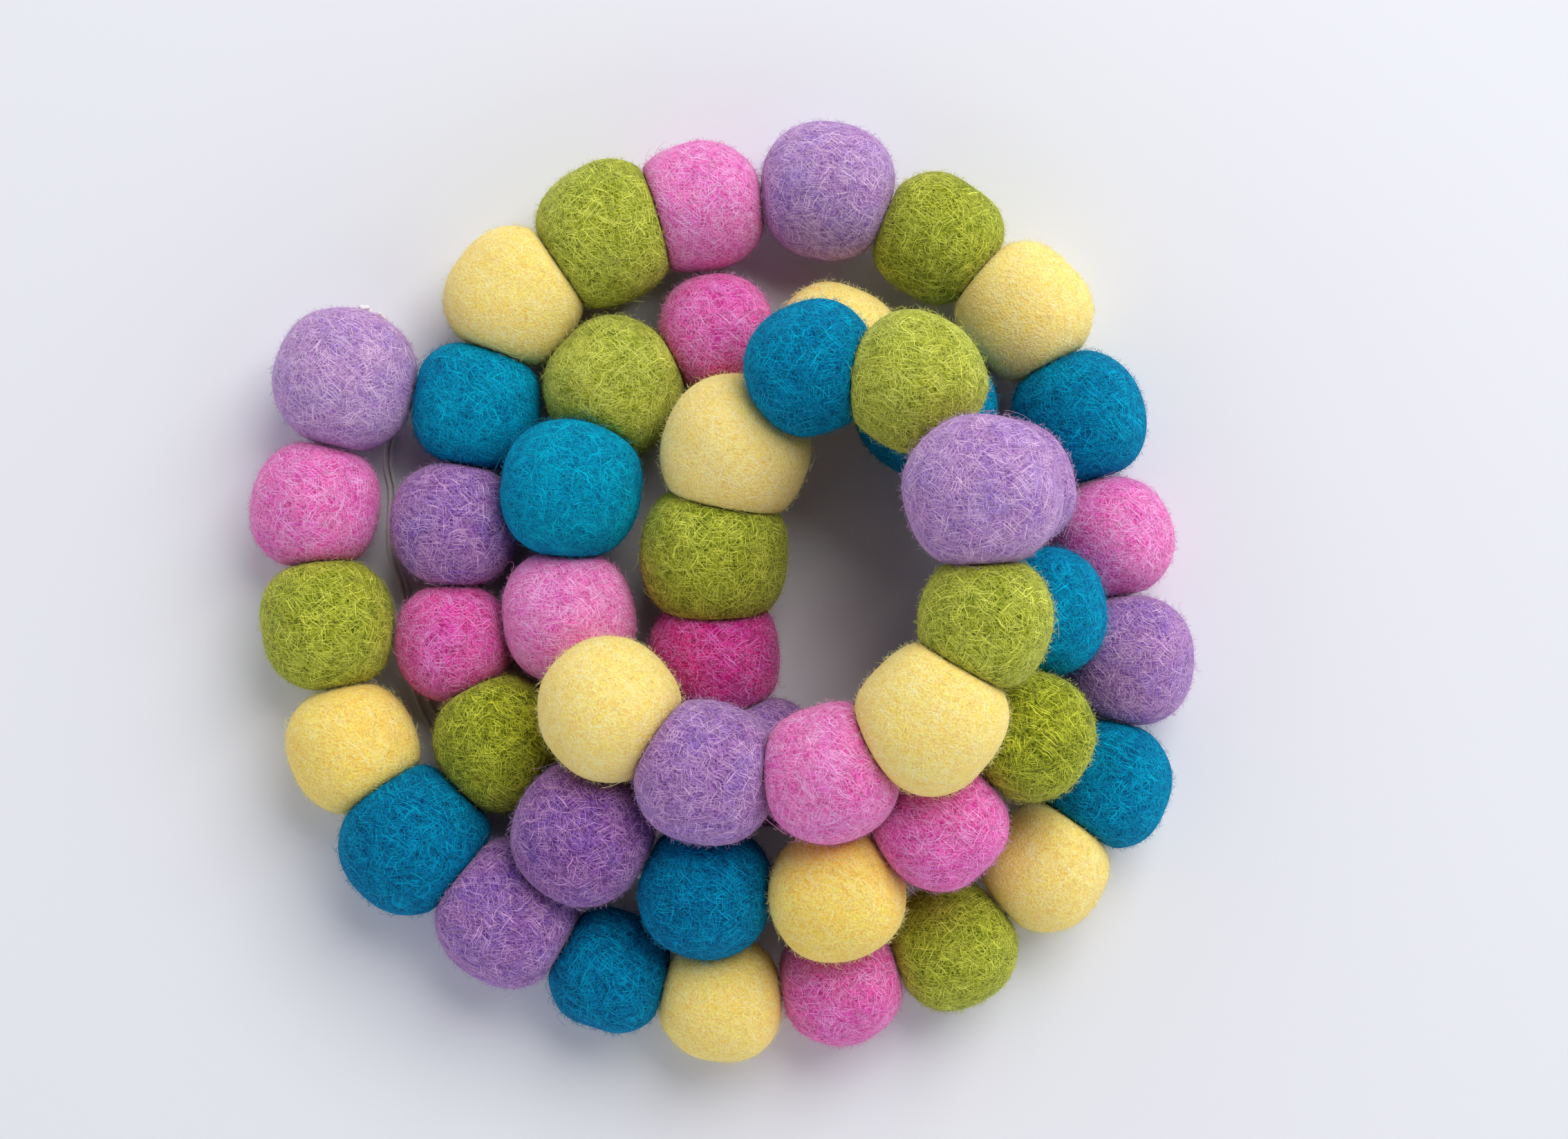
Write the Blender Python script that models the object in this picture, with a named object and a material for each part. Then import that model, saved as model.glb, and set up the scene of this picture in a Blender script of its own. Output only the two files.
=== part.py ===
"""Felt ball garland, lying in the loose heap in which it was coiled up.

Wool felt balls are threaded on a doubled cotton string with a stop knot at each end. The string
winds inwards: the first balls lie on the surface in an outer ring, the next ones in a second ring
that climbs onto the first, then comes a loop on top of both, and the last balls go down inside
the rings. What is left of the string leaves the outer knot as a long narrow loop of two strands.

Metres, +Z up. The heap rests on z = 0 and its box is centred on the Z axis. Tables are in
millimetres, as measured.
"""

from collections import namedtuple

import bmesh
import bpy
import numpy as np

MM = 0.001

PIECE_GAP = 0.3 * MM

# How a ball's facets are laid out: flat strips round the bore, and rings of points towards it.
BALL_STRIPS = 9
RING_LATITUDES = np.radians([70, 45, 15, -15, -45, -70])
FACET_SWELL = 1.04

# The string is two strands side by side, and the bore's flats clear it all round.
STRAND_DIAMETER = 0.9 * MM
STRING_DIAMETER = 1.6 * MM
BORE_CLEARANCE = 0.36 * MM
BORE_DIAMETER = (STRING_DIAMETER + 2 * BORE_CLEARANCE) / np.cos(np.pi / BALL_STRIPS)

# Where a neighbour on the string presses a ball in by some share of its radius, the whole ball
# grows flatter along its bore by this part of that share.
SQUASH_PART = 0.6

# A ball on the surface is pressed until its middle is this share of its diameter above it.
RESTING_SHARE = 0.475
FLAT_SPOT_REACH = 0.4 * MM

# The string leaves a ball at its outermost point, so at a bend it passes outside the line that
# joins the balls' middles, by this share of the bend's second difference.
BEND_SHARE = 0.25

# The balls in the order of the string, from the outer end: place of the middle and diameter in
# millimetres. A ball with no height lies on the surface. One that is out of round swells by its
# bulge towards a bearing, counted from +X towards +Y in degrees, or is flatter there where the
# bulge is negative.
Ball = namedtuple("Ball", "colour x y diameter height bulge towards", defaults=[None, 0.0, 0.0])
BALLS = [
    Ball("lavender", -71.1, 38.8, 26.8),
    Ball("pink", -76.8, 15.0, 23.9, bulge=0.5, towards=225),
    Ball("green", -74.3, -7.5, 25.3, bulge=-0.5, towards=215),
    Ball("yellow", -69.7, -30.3, 24.2, bulge=-0.5, towards=215),
    Ball("teal", -57.4, -47.4, 26.2, bulge=0.9, towards=225),
    Ball("lavender", -40.0, -61.0, 26.3),
    Ball("teal", -21.0, -71.8, 22.6),
    Ball("yellow", -0.4, -76.8, 23.4),
    Ball("pink", 21.9, -73.9, 23.2),
    Ball("green", 42.7, -67.2, 23.4),
    Ball("yellow", 60.4, -52.6, 23.9, bulge=-1.3, towards=0),
    Ball("teal", 71.6, -36.9, 23.9),
    Ball("lavender", 76.1, -14.0, 24.7, bulge=-0.4, towards=0),
    Ball("pink", 72.8, 9.0, 23.2),
    Ball("teal", 66.7, 31.5, 24.9),
    Ball("yellow", 56.6, 51.8, 24.8, bulge=0.4, towards=270),
    Ball("green", 40.3, 65.8, 24.0),
    Ball("lavender", 19.5, 74.7, 26.0),
    Ball("pink", -4.5, 71.8, 24.4),
    Ball("green", -22.9, 66.3, 26.8, bulge=-1.5, towards=175),
    Ball("yellow", -39.5, 54.7, 26.0, bulge=-0.9, towards=120),
    Ball("teal", -46.8, 33.9, 24.3),
    Ball("lavender", -50.5, 11.4, 24.0),
    Ball("pink", -50.8, -10.6, 22.0),
    Ball("green", -41.3, -29.6, 24.9),
    Ball("lavender", -25.4, -45.9, 25.9, 21.5),
    Ball("teal", -3.0, -56.3, 25.0, 20.5),
    Ball("yellow", 20.8, -56.4, 24.8, 24.8),
    Ball("pink", 39.2, -43.5, 23.8, 28.5),
    Ball("green", 55.2, -27.8, 23.4, 28.8),
    Ball("teal", 58.1, -5.5, 23.9, 24.2),
    Ball("lavender", 52.6, 17.2, 24.2, 24.0),
    Ball("teal", 38.1, 33.3, 26.0),
    Ball("yellow", 20.5, 44.9, 24.2),
    Ball("pink", -1.3, 47.8, 22.3),
    Ball("green", -20.7, 37.5, 25.8),
    Ball("teal", -28.1, 17.4, 26.0, 19.0),
    Ball("pink", -28.9, -6.0, 25.2, 14.5),
    Ball("yellow", -20.1, -23.2, 25.4, 29.5),
    Ball("lavender", -2.5, -34.5, 25.6, 31.5),
    Ball("pink", 19.5, -34.5, 24.4, 36.0),
    Ball("yellow", 37.0, -24.3, 25.5, 42.0, bulge=0.4, towards=270),
    Ball("green", 46.3, -7.7, 23.2, 44.0),
    Ball("lavender", 45.5, 14.7, 27.6, 47.0, bulge=-0.7, towards=90),
    Ball("green", 34.6, 34.8, 24.6, 37.0),
    Ball("teal", 16.3, 38.0, 23.6, 32.5),
    Ball("yellow", 2.2, 24.8, 26.7, 21.0, bulge=0.8, towards=315),
    Ball("green", -1.5, 5.5, 26.8, 16.5, bulge=0.4, towards=180),
    Ball("pink", -1.5, -13.5, 24.4),
    Ball("lavender", 8.0, -33.0, 23.4),
    Ball("yellow", 31.0, -35.0, 24.1),
    Ball("teal", 48.8, -19.6, 24.1),
]

# Where the string points as it leaves the first and the last ball.
OUTER_END = np.array([0.19, 0.95, -0.24])
INNER_END = np.array([0.30, 0.95, 0.0])

# A stop knot is a squat lump with flat ends, and sits on the mouth of the bore.
KNOT_DIAMETER = 3.0 * MM
KNOT_END_DIAMETER = 2.0 * MM
KNOT_LENGTH = 1.5 * MM
KNOT_STAND_OFF = 0.4 * MM
KNOT_SIDES = 8

# The loop of spare string, as a route midway between its two strands: down from the outer knot
# and along the floor, with the distance between the strands at each point, and then its far tip.
TAIL_SPACING = 2.6 * MM
STEPS_BETWEEN_POINTS = 12
TailPoint = namedtuple("TailPoint", "x y height apart", defaults=[0.5, 1.1])
TAIL_ROUTE = [
    TailPoint(-66.6, 51.9, 6.9),
    TailPoint(-65.6, 50.9, 4.9),
    TailPoint(-64.7, 49.2, 2.9),
    TailPoint(-63.6, 46.4, 1.3),
    TailPoint(-62.9, 43.0),
    TailPoint(-62.9, 39.0),
    TailPoint(-63.4, 35.0),
    TailPoint(-64.2, 30.8),
    TailPoint(-64.9, 27.0),
    TailPoint(-65.0, 23.4),
    TailPoint(-64.2, 19.2),
    TailPoint(-64.2, 15.0),
    TailPoint(-64.4, 10.0),
    TailPoint(-63.8, 5.6),
    TailPoint(-62.2, 1.2),
    TailPoint(-61.1, -3.4),
    TailPoint(-60.8, -9.0),
    TailPoint(-60.5, -14.0, apart=1.2),
    TailPoint(-59.2, -19.0, apart=1.5),
    TailPoint(-57.5, -23.0, apart=1.9),
    TailPoint(-55.7, -26.4, apart=2.4),
    TailPoint(-54.3, -29.6, apart=3.2),
    TailPoint(-53.3, -31.8, apart=3.4),
]
TAIL_TIP = np.array([-52.5, -33.8, 0.5]) * MM

COLOURS = {
    "lavender": (0.40, 0.22, 0.58),
    "pink": (0.72, 0.10, 0.37),
    "green": (0.27, 0.35, 0.03),
    "yellow": (0.87, 0.68, 0.19),
    "teal": (0.0, 0.29, 0.45),
    "cotton": (0.83, 0.81, 0.78),
}


def unit(vector):
    """The vector at length one."""
    return vector / np.linalg.norm(vector)


def new_material(name, colour):
    """A rough, dull finish: felt and cotton have no gloss."""
    material = bpy.data.materials.new(name)
    material.use_nodes = True
    shader = material.node_tree.nodes["Principled BSDF"]
    shader.inputs["Base Color"].default_value = (*colour, 1)
    shader.inputs["Roughness"].default_value = 0.95
    shader.inputs["Metallic"].default_value = 0
    return material


def add_object(name, data, material, collection):
    """An object in the garland's collection, with its one material."""
    data.materials.append(material)
    collection.objects.link(bpy.data.objects.new(name, data))


def ball_middles():
    """Middles and radii of the balls in metres."""
    heights = [RESTING_SHARE * b.diameter if b.height is None else b.height for b in BALLS]
    middles = np.array([(b.x, b.y, z) for b, z in zip(BALLS, heights)]) * MM
    return middles, np.array([b.diameter / 2 for b in BALLS]) * MM


def meeting_distance(apart, radius, other_radius):
    """How far from one ball's middle the plane lies on which two pressed balls meet."""
    return (apart**2 + radius**2 - other_radius**2) / (2 * apart)


def contact_planes(index, middles, radii):
    """Normals and distances, from one ball's middle, of the planes that it is pressed flat on.

    Each lies half a piece gap short of where the ball meets a neighbour. The last one is the
    surface that the heap lies on.
    """
    steps = np.delete(middles, index, axis=0) - middles[index]
    other_radii = np.delete(radii, index)
    apart = np.linalg.norm(steps, axis=1)
    near = apart < radii[index] + other_radii + PIECE_GAP
    meeting = meeting_distance(apart, radii[index], other_radii)
    normals = np.vstack([steps[near] / apart[near, None], [0, 0, -1]])
    return normals, np.append(meeting[near] - PIECE_GAP / 2, middles[index, 2])


def lie_of_string(middles, radii):
    """The string's corners, and each ball's length along its bore as a share of its diameter.

    The corners are the first ball's mouth, a point between each two balls, and the last mouth.
    """
    steps = middles[1:] - middles[:-1]
    apart = np.linalg.norm(steps, axis=1)
    along = steps / apart[:, None]
    meeting = meeting_distance(apart, radii[:-1], radii[1:])
    ahead = np.append(np.minimum(meeting / radii[:-1], 1), 1)
    behind = np.append(1, np.minimum((apart - meeting) / radii[1:], 1))
    length_shares = 1 - SQUASH_PART * (1 - (ahead + behind) / 2)

    first = middles[0] + unit(OUTER_END) * radii[0] * length_shares[0]
    last = middles[-1] + unit(INNER_END) * radii[-1] * length_shares[-1]
    between = middles[:-1] + along * meeting[:, None]
    touching = np.vstack([first, between, last])
    outwards = BEND_SHARE * (2 * touching[1:-1] - touching[:-2] - touching[2:])
    outwards -= along * (outwards * along).sum(axis=1, keepdims=True)
    return np.vstack([first, between + outwards, last]), length_shares


def turned_mesh(profile, sides):
    """A closed outline of (radius, height) points, top to bottom, turned round the Z axis."""
    bm = bmesh.new()
    corners = [bm.verts.new((r, 0, z)) for r, z in profile]
    edges = [bm.edges.new((a, b)) for a, b in zip(corners, corners[1:] + corners[:1])]
    bmesh.ops.spin(
        bm,
        geom=corners + edges,
        cent=(0, 0, 0),
        axis=(0, 0, 1),
        angle=2 * np.pi,
        steps=sides,
        use_merge=True,
    )
    bmesh.ops.recalc_face_normals(bm, faces=bm.faces)
    mesh = bpy.data.meshes.new("turned")
    bm.to_mesh(mesh)
    bm.free()
    return mesh


def points_of(mesh):
    """The mesh's vertices as rows."""
    points = np.empty(len(mesh.vertices) * 3, np.float32)
    mesh.vertices.foreach_get("co", points)
    return points.reshape(-1, 3).astype(float)


def axes_along(direction, strips):
    """Rows are a turned shape's X, Y and Z axes, with Z along the bore and a flat strip facing down."""
    along = unit(direction)
    down = unit(np.array([0, 0, -1]) + along * along[2])
    side = np.cross(along, down)
    half_strip = np.pi / strips
    x = np.cos(half_strip) * down + np.sin(half_strip) * side
    return np.array([x, np.cross(along, x), along])


def pressed(from_middle, normals, distances):
    """Points drawn straight towards the middle until none lies past a contact plane."""
    past = from_middle @ normals.T / distances
    return from_middle / np.maximum(past.max(axis=1, keepdims=True), 1)


def mouth_rim(wall, along, radius, length_share, normals, distances):
    """Points of the bore's wall slid along it until they reach the ball's skin or a plane."""
    to_skin = length_share * np.sqrt(radius**2 - (wall**2).sum(axis=1))
    facing = normals @ along
    ahead = facing > 0
    to_planes = (distances[ahead] - wall @ normals[ahead].T) / facing[ahead]
    slide = np.minimum(to_skin, to_planes.min(axis=1, initial=np.inf))
    return wall + slide[:, None] * along


def bulge_of(row, ways):
    """How far a ball swells in these directions: its bulge times a squared cosine."""
    bearing = np.radians(row.towards)
    share = np.maximum(ways @ [np.cos(bearing), np.sin(bearing), 0], 0) ** 2
    return row.bulge * MM * share[:, None]


def ball_points(local, row, bore_start, axes, radius, length_share, normals, distances):
    """Where a turned ball's points go, from its middle: flatter along the bore, then pressed."""
    along = axes[2]
    reach = radius * FACET_SWELL
    on_bore = bore_start - along * (bore_start @ along)
    swung = local @ axes + on_bore * (local[:, 2:] / reach) ** 2
    swung /= np.linalg.norm(swung, axis=1, keepdims=True)
    flatness = (swung @ along)[:, None] ** 2 * (1 / length_share**2 - 1)
    skin = swung * (reach / np.sqrt(1 + flatness) + bulge_of(row, swung))
    placed = pressed(skin, normals, distances)

    wall = on_bore + local[:, :2] @ axes[:2]
    in_bore = np.hypot(local[:, 0], local[:, 1]) < BORE_DIAMETER
    for way in (1, -1):
        rim = in_bore & (local[:, 2] * way > 0)
        placed[rim] = mouth_rim(wall[rim], along * way, radius, length_share, normals, distances)
    floor = -distances[-1]
    on_floor = (placed[:, 2] < floor + FLAT_SPOT_REACH) & ~in_bore
    placed[on_floor, 2] = floor
    return placed


def make_ball(name, row, middle, radius, length_share, planes, corner, next_corner, material, collection):
    """One pierced ball, turned round its bore and pressed flat where it touches.

    On a ball that lies on the surface the rings swing until a facet is straight below the middle.
    """
    reach = radius * FACET_SWELL
    axes = axes_along(next_corner - corner, BALL_STRIPS)
    swing = -np.arcsin(axes[2][2]) if middle[2] < reach else 0
    latitudes = RING_LATITUDES + swing * np.cos(RING_LATITUDES) ** 2
    rings = [(reach * np.cos(a), reach * np.sin(a)) for a in latitudes]
    mesh = turned_mesh([(BORE_DIAMETER / 2, reach), *rings, (BORE_DIAMETER / 2, -reach)], BALL_STRIPS)
    placed = ball_points(points_of(mesh), row, corner - middle, axes, radius, length_share, *planes)
    mesh.vertices.foreach_set("co", (middle + placed).astype(np.float32).ravel())
    mesh.shade_smooth()
    add_object(name, mesh, material, collection)


def make_tube(name, path, diameter, material, collection):
    """A solid round cord along the path."""
    curve = bpy.data.curves.new(name, "CURVE")
    curve.dimensions = "3D"
    curve.bevel_depth = diameter / 2
    curve.bevel_resolution = 2
    curve.use_fill_caps = True
    spline = curve.splines.new("POLY")
    spline.points.add(len(path) - 1)
    weighted = np.column_stack([path, np.ones(len(path))])
    spline.points.foreach_set("co", weighted.astype(np.float32).ravel())
    add_object(name, curve, material, collection)


def make_knot(name, mouth, direction, material, collection):
    """A stop knot, its flat end square on the bore."""
    end = KNOT_END_DIAMETER / 2
    half = KNOT_LENGTH / 2
    outline = [(0, half), (end, half), (KNOT_DIAMETER / 2, half / 2)]
    outline += [(radius, -height) for radius, height in reversed(outline)]
    mesh = turned_mesh(outline, KNOT_SIDES)
    along = unit(direction)
    middle = mouth + along * (KNOT_STAND_OFF + half)
    placed = middle + points_of(mesh) @ axes_along(along, KNOT_SIDES)
    mesh.vertices.foreach_set("co", placed.astype(np.float32).ravel())
    mesh.shade_smooth()
    add_object(name, mesh, material, collection)


def smooth_path(points, spacing):
    """Points at an even spacing on the Catmull-Rom curve through the route's own points."""
    padded = np.vstack([2 * points[0] - points[1], points, 2 * points[-1] - points[-2]])
    before, start, end, after = (padded[k : len(points) - 1 + k, None] for k in range(4))
    t = np.linspace(0, 1, STEPS_BETWEEN_POINTS, endpoint=False)[:, None]
    curve = start + 0.5 * t * (end - before)
    curve = curve + 0.5 * t**2 * (2 * before - 5 * start + 4 * end - after)
    curve = curve + 0.5 * t**3 * (3 * start - before - 3 * end + after)
    curve = np.vstack([curve.reshape(-1, 3), points[-1]])
    travelled = np.append(0, np.cumsum(np.linalg.norm(np.diff(curve, axis=0), axis=1)))
    stops = np.linspace(0, travelled[-1], round(travelled[-1] / spacing) + 1)
    return np.column_stack([np.interp(stops, travelled, column) for column in curve.T])


def tail_path():
    """Out along one strand of the loop, round its tip, and back along the other."""
    route = np.array([(p.x, p.y, p.height) for p in TAIL_ROUTE]) * MM
    apart = np.array([p.apart for p in TAIL_ROUTE])[:, None] * MM
    heading = np.gradient(route, axis=0)
    sideways = np.column_stack([heading[:, 1], -heading[:, 0], np.zeros(len(route))])
    sideways /= np.linalg.norm(sideways, axis=1, keepdims=True)
    outward = route + sideways * apart / 2
    homeward = route - sideways * apart / 2
    return smooth_path(np.vstack([outward, TAIL_TIP, homeward[::-1]]), TAIL_SPACING)


for leftover in list(bpy.data.objects):
    bpy.data.objects.remove(leftover)

garland = bpy.data.collections.new("felt_ball_garland")
bpy.context.scene.collection.children.link(garland)
finishes = {name: new_material(name, colour) for name, colour in COLOURS.items()}

ball_centres, ball_radii = ball_middles()
corners, shares = lie_of_string(ball_centres, ball_radii)
for number, row in enumerate(BALLS):
    make_ball(
        f"ball_{number + 1:02d}",
        row,
        ball_centres[number],
        ball_radii[number],
        shares[number],
        contact_planes(number, ball_centres, ball_radii * FACET_SWELL),
        corners[number],
        corners[number + 1],
        finishes[row.colour],
        garland,
    )
make_tube("string", corners, STRING_DIAMETER, finishes["cotton"], garland)
make_knot("knot_outer", corners[0], corners[0] - corners[1], finishes["cotton"], garland)
make_knot("knot_inner", corners[-1], corners[-1] - corners[-2], finishes["cotton"], garland)
make_tube("tail", tail_path(), STRAND_DIAMETER, finishes["cotton"], garland)
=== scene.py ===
"""Felt ball garland, coiled up in a loose heap of rings on a pale surface.

Metres, +Z up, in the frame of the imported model. The tables, and the forms of the balls, the loose
fibres and the knots, are in millimetres until their meshes are made.
"""

from collections import namedtuple

import bpy
import numpy as np
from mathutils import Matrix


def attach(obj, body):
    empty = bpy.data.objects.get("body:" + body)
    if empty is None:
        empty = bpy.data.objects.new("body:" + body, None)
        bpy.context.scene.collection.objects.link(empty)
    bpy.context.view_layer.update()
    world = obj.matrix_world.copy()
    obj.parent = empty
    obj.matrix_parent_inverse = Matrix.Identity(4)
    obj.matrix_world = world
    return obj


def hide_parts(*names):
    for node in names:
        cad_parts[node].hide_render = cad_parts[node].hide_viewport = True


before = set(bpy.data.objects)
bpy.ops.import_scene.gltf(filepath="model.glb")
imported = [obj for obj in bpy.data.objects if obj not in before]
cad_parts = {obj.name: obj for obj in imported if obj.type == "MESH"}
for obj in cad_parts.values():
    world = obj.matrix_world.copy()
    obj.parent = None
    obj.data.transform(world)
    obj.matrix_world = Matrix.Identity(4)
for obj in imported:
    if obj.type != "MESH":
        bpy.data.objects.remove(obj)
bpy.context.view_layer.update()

MM = 0.001

# Camera
# The heap is seen from almost straight above, from 45 cm, by a normal lens. The heap's far side
# is up in the picture, and the camera leans 3.2 degrees so that it looks a little that way.
CAMERA_PLACE = (0.0113, -0.0215, 0.4493)
CAMERA_LEAN = np.radians(3.2)
SENSOR_WIDTH = 36.0
FOCAL_LENGTH = 53.57

lens = bpy.data.cameras.new("camera")
lens.sensor_width = SENSOR_WIDTH
lens.lens = FOCAL_LENGTH
camera = bpy.data.objects.new("camera", lens)
camera.location = CAMERA_PLACE
camera.rotation_euler = (CAMERA_LEAN, 0, 0)
bpy.context.scene.collection.objects.link(camera)
bpy.context.scene.camera = camera


# Tail
# The spare end of the cotton cord, which the maker left as a long narrow loop: out of the outer
# knot, down between the two outer rings, along the surface, and back to the knot.
CORD_DIAMETER = 0.9 * MM
PLY_DEPTH = 0.1
PLY_TURN = 2.6 * MM
CORD_SIDES = 12
CORD_STEP = 0.33 * MM
STEPS_BETWEEN_POINTS = 24
CORD_UP = (0.05, 0.1, 1.0)

# The middle line of the loop, with the height of its two strands and how far apart they are.
TailPoint = namedtuple("TailPoint", "x y height apart", defaults=[0.5, 1.1])
TAIL_ROUTE = [
    TailPoint(-66.6, 51.9, 6.9),
    TailPoint(-65.6, 50.9, 4.9),
    TailPoint(-64.7, 49.2, 2.9),
    TailPoint(-63.6, 46.4, 1.3),
    TailPoint(-62.9, 43.0),
    TailPoint(-62.9, 39.0),
    TailPoint(-63.4, 35.0),
    TailPoint(-64.2, 30.8),
    TailPoint(-64.9, 27.0),
    TailPoint(-65.0, 23.4),
    TailPoint(-64.2, 19.2),
    TailPoint(-64.2, 15.0),
    TailPoint(-64.4, 10.0),
    TailPoint(-63.8, 5.6),
    TailPoint(-62.2, 1.2),
    TailPoint(-61.1, -3.4),
    TailPoint(-60.8, -9.0),
    TailPoint(-60.5, -14.0, apart=1.2),
    TailPoint(-59.2, -19.0, apart=1.5),
    TailPoint(-57.5, -23.0, apart=1.9),
    TailPoint(-55.7, -26.4, apart=2.4),
    TailPoint(-54.3, -29.6, apart=3.2),
    TailPoint(-53.3, -31.8, apart=3.4),
]
TAIL_TIP = np.array([-52.5, -33.8, 0.5])


def linear(code):
    """The linear colour, with an alpha of one, of an sRGB hex code such as "#dc5aa5"."""
    parts = np.array([int(code[k : k + 2], 16) for k in (1, 3, 5)]) / 255
    bright = ((parts + 0.055) / 1.055) ** 2.4
    return (*np.where(parts > 0.04045, bright, parts / 12.92), 1.0)


def add_node(tree, kind, inputs, **settings):
    """A node of that kind, with its settings, and with each input a value or a socket to link."""
    node = tree.nodes.new(kind)
    for name, value in settings.items():
        setattr(node, name, value)
    for name, value in inputs.items():
        if isinstance(value, bpy.types.NodeSocket):
            tree.links.new(value, node.inputs[name])
        else:
            node.inputs[name].default_value = value
    return node


def new_finish(name):
    """A new material with its node tree and its shader, on which nothing is set yet."""
    material = bpy.data.materials.new(name)
    material.use_nodes = True
    return material, material.node_tree, material.node_tree.nodes["Principled BSDF"]


def new_piece(name, points, face_sets, material):
    """A mesh object made of rows of points and arrays of faces.

    All faces of one array have the same number of sides.
    """
    corners = np.concatenate([faces.ravel() for faces in face_sets])
    sides = np.concatenate([np.full(len(faces), faces.shape[1]) for faces in face_sets])
    mesh = bpy.data.meshes.new(name)
    mesh.vertices.add(len(points))
    mesh.vertices.foreach_set("co", points.astype(np.float32).ravel())
    mesh.loops.add(len(corners))
    mesh.loops.foreach_set("vertex_index", corners.astype(np.int32))
    mesh.polygons.add(len(sides))
    mesh.polygons.foreach_set("loop_start", (np.cumsum(sides) - sides).astype(np.int32))
    mesh.update(calc_edges=True)
    mesh.shade_smooth()
    mesh.materials.append(material)
    piece = bpy.data.objects.new(name, mesh)
    bpy.context.scene.collection.objects.link(piece)
    return piece


def smooth_path(points, spacing):
    """Points at an even spacing on the Catmull-Rom curve through the route's own points.

    Between two points it is the cubic that passes through both, with a slope at each of half the
    step from the point before it to the point after it.
    """
    padded = np.vstack([2 * points[0] - points[1], points, 2 * points[-1] - points[-2]])
    before, start, end, after = (padded[k : len(points) - 1 + k, None] for k in range(4))
    t = np.linspace(0, 1, STEPS_BETWEEN_POINTS, endpoint=False)[:, None]
    curve = start + 0.5 * t * (end - before)
    curve = curve + 0.5 * t**2 * (2 * before - 5 * start + 4 * end - after)
    curve = curve + 0.5 * t**3 * (3 * start - before - 3 * end + after)
    curve = np.vstack([curve.reshape(-1, 3), points[-1]])
    travelled = np.append(0, np.cumsum(np.linalg.norm(np.diff(curve, axis=0), axis=1)))
    stops = np.linspace(0, travelled[-1], round(travelled[-1] / spacing) + 1)
    return np.column_stack([np.interp(stops, travelled, column) for column in curve.T])


def tail_path():
    """Out along one strand of the loop, round its tip, and back along the other.

    Each strand is the route moved sideways, square to its heading in plan, by half the distance
    between the two.
    """
    route = np.array([(p.x, p.y, p.height) for p in TAIL_ROUTE])
    apart = np.array([p.apart for p in TAIL_ROUTE])[:, None]
    heading = np.gradient(route, axis=0)
    sideways = np.column_stack([heading[:, 1], -heading[:, 0], np.zeros(len(route))])
    sideways /= np.linalg.norm(sideways, axis=1, keepdims=True)
    outward = route + sideways * apart / 2
    homeward = route - sideways * apart / 2
    return smooth_path(np.vstack([outward, TAIL_TIP, homeward[::-1]]) * MM, CORD_STEP)


def ring_faces(rings, sides, joined=False):
    """Quads between each ring of points and the next, and from the last to the first if joined."""
    ring, side = np.meshgrid(np.arange(rings - (not joined)), np.arange(sides), indexing="ij")
    next_ring, next_side = (ring + 1) % rings, (side + 1) % sides
    corners = [ring * sides + side, next_ring * sides + side]
    corners += [next_ring * sides + next_side, ring * sides + next_side]
    return np.stack(corners, axis=-1).reshape(-1, 4)


def twisted_cord(path, diameter, plies, joined=False):
    """Points and faces of a cord of twisted plies along the path.

    Round the path, the radius is half the diameter less a groove between plies: the ply depth
    times the diameter times one minus the absolute cosine of half as many turns as there are
    plies. The grooves turn once round in each ply turn's length of cord.
    """
    ends = path[[-1, 0]] if joined else 2 * path[[0, -1]] - path[[1, -2]]
    heading = np.vstack([path[1:], ends[1]]) - np.vstack([ends[0], path[:-1]])
    heading /= np.linalg.norm(heading, axis=1, keepdims=True)
    side = np.cross(heading, CORD_UP)
    side /= np.linalg.norm(side, axis=1, keepdims=True)
    up = np.cross(side, heading)
    travelled = np.append(0, np.cumsum(np.linalg.norm(np.diff(path, axis=0), axis=1)))
    turn = np.linspace(0, 2 * np.pi, CORD_SIDES, endpoint=False)
    groove = 1 - np.abs(np.cos(plies / 2 * (turn - 2 * np.pi * travelled[:, None] / PLY_TURN)))
    radius = diameter * (0.5 - PLY_DEPTH * groove)
    ring = np.cos(turn)[:, None] * side[:, None] + np.sin(turn)[:, None] * up[:, None]
    points = (path[:, None] + radius[:, :, None] * ring).reshape(-1, 3)
    faces = [ring_faces(len(path), CORD_SIDES, joined)]
    if not joined:
        start = np.arange(CORD_SIDES)
        faces.append(np.stack([start, len(points) - 1 - start]))
    return points, faces


# Bleached cotton: matt, soft and a warm off-white, with faint grey flecks of shade between its
# fibres.
FLECK_SIZE = 0.5 * MM
COTTON_SHADE = "#e4e0dd"
COTTON_PALE = "#fcfaf8"

cotton, tree, shader = new_finish("bleached_cotton")
place = add_node(tree, "ShaderNodeTexCoord", {})
flecks = add_node(
    tree, "ShaderNodeTexNoise", {"Vector": place.outputs["Object"], "Scale": 1 / FLECK_SIZE}
)
shade = add_node(
    tree,
    "ShaderNodeMix",
    {0: flecks.outputs[0], 6: linear(COTTON_SHADE), 7: linear(COTTON_PALE)},
    data_type="RGBA",
)
tree.links.new(shade.outputs[2], shader.inputs["Base Color"])
shader.inputs["Roughness"].default_value = 0.9
shader.inputs["Sheen Weight"].default_value = 0.3

tail_line = tail_path()
tail = new_piece("spare_cord", *twisted_cord(tail_line, CORD_DIAMETER, 3), cotton)
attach(tail, "root")
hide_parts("tail")


# Floor
# A plain pale surface under the heap, which isn't part of it. It is wide enough to fill the
# picture from low down as well.
FLOOR_SIZE = 30.0
FLOOR_COLOUR = "#eaecf3"

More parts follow.
